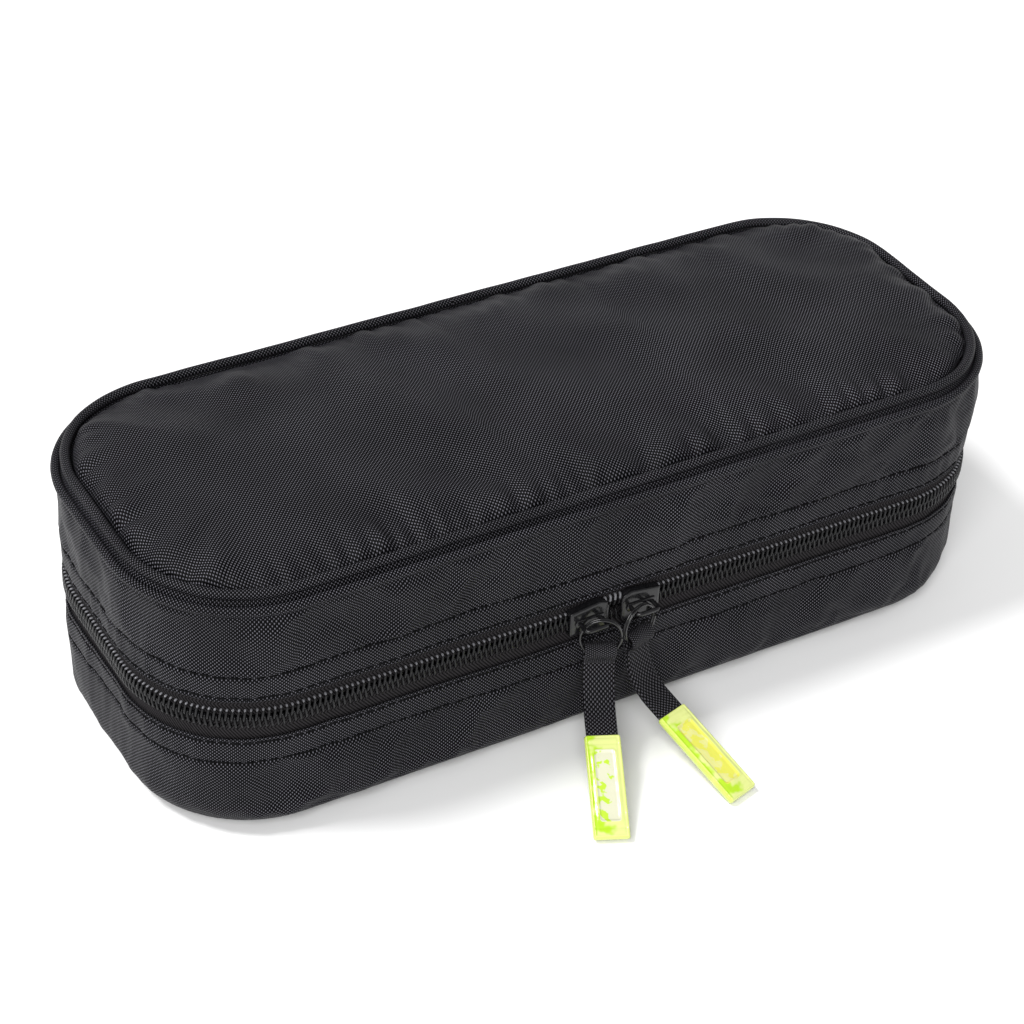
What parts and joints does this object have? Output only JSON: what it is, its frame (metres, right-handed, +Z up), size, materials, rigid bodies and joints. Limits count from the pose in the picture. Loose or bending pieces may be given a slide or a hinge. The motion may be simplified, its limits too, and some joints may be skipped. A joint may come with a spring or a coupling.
{
  "type": "zip-up padded equipment pouch",
  "caption": "Padded zip-up pouch with a hinged lid, a two-way coil zip round three sides, and webbing zip pulls with reflective sleeves.",
  "frame": {"origin": "middle of the underside, on the surface that the pouch stands on", "axes": "+X along the pouch's length, +Y from the zip pulls at the front to the cloth hinge at the back, +Z up"},
  "size_m": [0.31, 0.1758, 0.0975],
  "materials": {
    "shell_cloth": "matte woven nylon",
    "top_cloth": "matte woven nylon",
    "foam": "matte closed-cell foam",
    "lining_cloth": "matte woven lining",
    "zip_tape": "matte herringbone tape",
    "zip_coil": "satin nylon coil",
    "slider_metal": "gloss black lacquer",
    "ring_metal": "gloss black lacquer",
    "webbing": "matte herringbone webbing",
    "reflective_sleeve": "glossy fluorescent reflective vinyl"
  },
  "bodies": {
    "tray": {"base_side_band": "shell_cloth", "base_bottom_panel": "shell_cloth", "base_bottom_foam": "foam", "base_side_foam": "foam", "base_lining": "lining_cloth", "base_zip_tape": "zip_tape", "base_zip_teeth": "zip_coil", "base_seam_binding": "lining_cloth", "hinge_strip_base": "shell_cloth"},
    "lid": {"lid_top_panel": "top_cloth", "lid_top_foam": "foam", "lid_piping": "shell_cloth", "lid_edge_roll": "shell_cloth", "lid_side_band": "shell_cloth", "lid_side_foam": "foam", "lid_lining": "lining_cloth", "lid_zip_tape": "zip_tape", "lid_zip_teeth": "zip_coil", "lid_seam_binding": "lining_cloth", "hinge_strip_lid": "shell_cloth"},
    "slider_left": {"slider_left": "slider_metal"},
    "ring_left": {"ring_left": "ring_metal"},
    "pull_left": {"webbing_left": "webbing", "sleeve_left": "reflective_sleeve"},
    "slider_right": {"slider_right": "slider_metal"},
    "ring_right": {"ring_right": "ring_metal"},
    "pull_right": {"webbing_right": "webbing", "sleeve_right": "reflective_sleeve"}
  },
  "joints": [
    {"name": "lid_hinge", "type": "hinge", "parent": "tray", "child": "lid", "pos_m": [0, 0.0622, 0.0475], "axis": [-1, 0, 0], "range_deg": [0, 170], "deforming": ["lid_zip_teeth", "base_zip_teeth"]},
    {"name": "slider_left_slide", "type": "slide", "parent": "tray", "child": "slider_left", "axis": [-1, 0, 0], "range_m": [0, 0.088], "deforming": ["lid_zip_teeth", "base_zip_teeth"]},
    {"name": "ring_left_swing", "type": "hinge", "parent": "slider_left", "child": "ring_left", "pos_m": [-0.0123, -0.0662, 0.0492], "axis": [-1, 0, 0], "range_deg": [0, 40]},
    {"name": "pull_left_flap", "type": "hinge", "parent": "ring_left", "child": "pull_left", "pos_m": [-0.0123, -0.0662, 0.0373], "axis": [-0.9135, 0.4067, 0], "range_deg": [0, 75]},
    {"name": "slider_right_slide", "type": "slide", "parent": "tray", "child": "slider_right", "axis": [1, 0, 0], "range_m": [0, 0.098], "deforming": ["lid_zip_teeth", "base_zip_teeth"]},
    {"name": "ring_right_swing", "type": "hinge", "parent": "slider_right", "child": "ring_right", "pos_m": [0.0021, -0.0657, 0.0492], "axis": [-1, 0, 0], "range_deg": [0, 40]},
    {"name": "pull_right_flap", "type": "hinge", "parent": "ring_right", "child": "pull_right", "pos_m": [0.0021, -0.0657, 0.0373], "axis": [-0.9613, -0.2756, 0], "range_deg": [0, 75]}
  ]
}
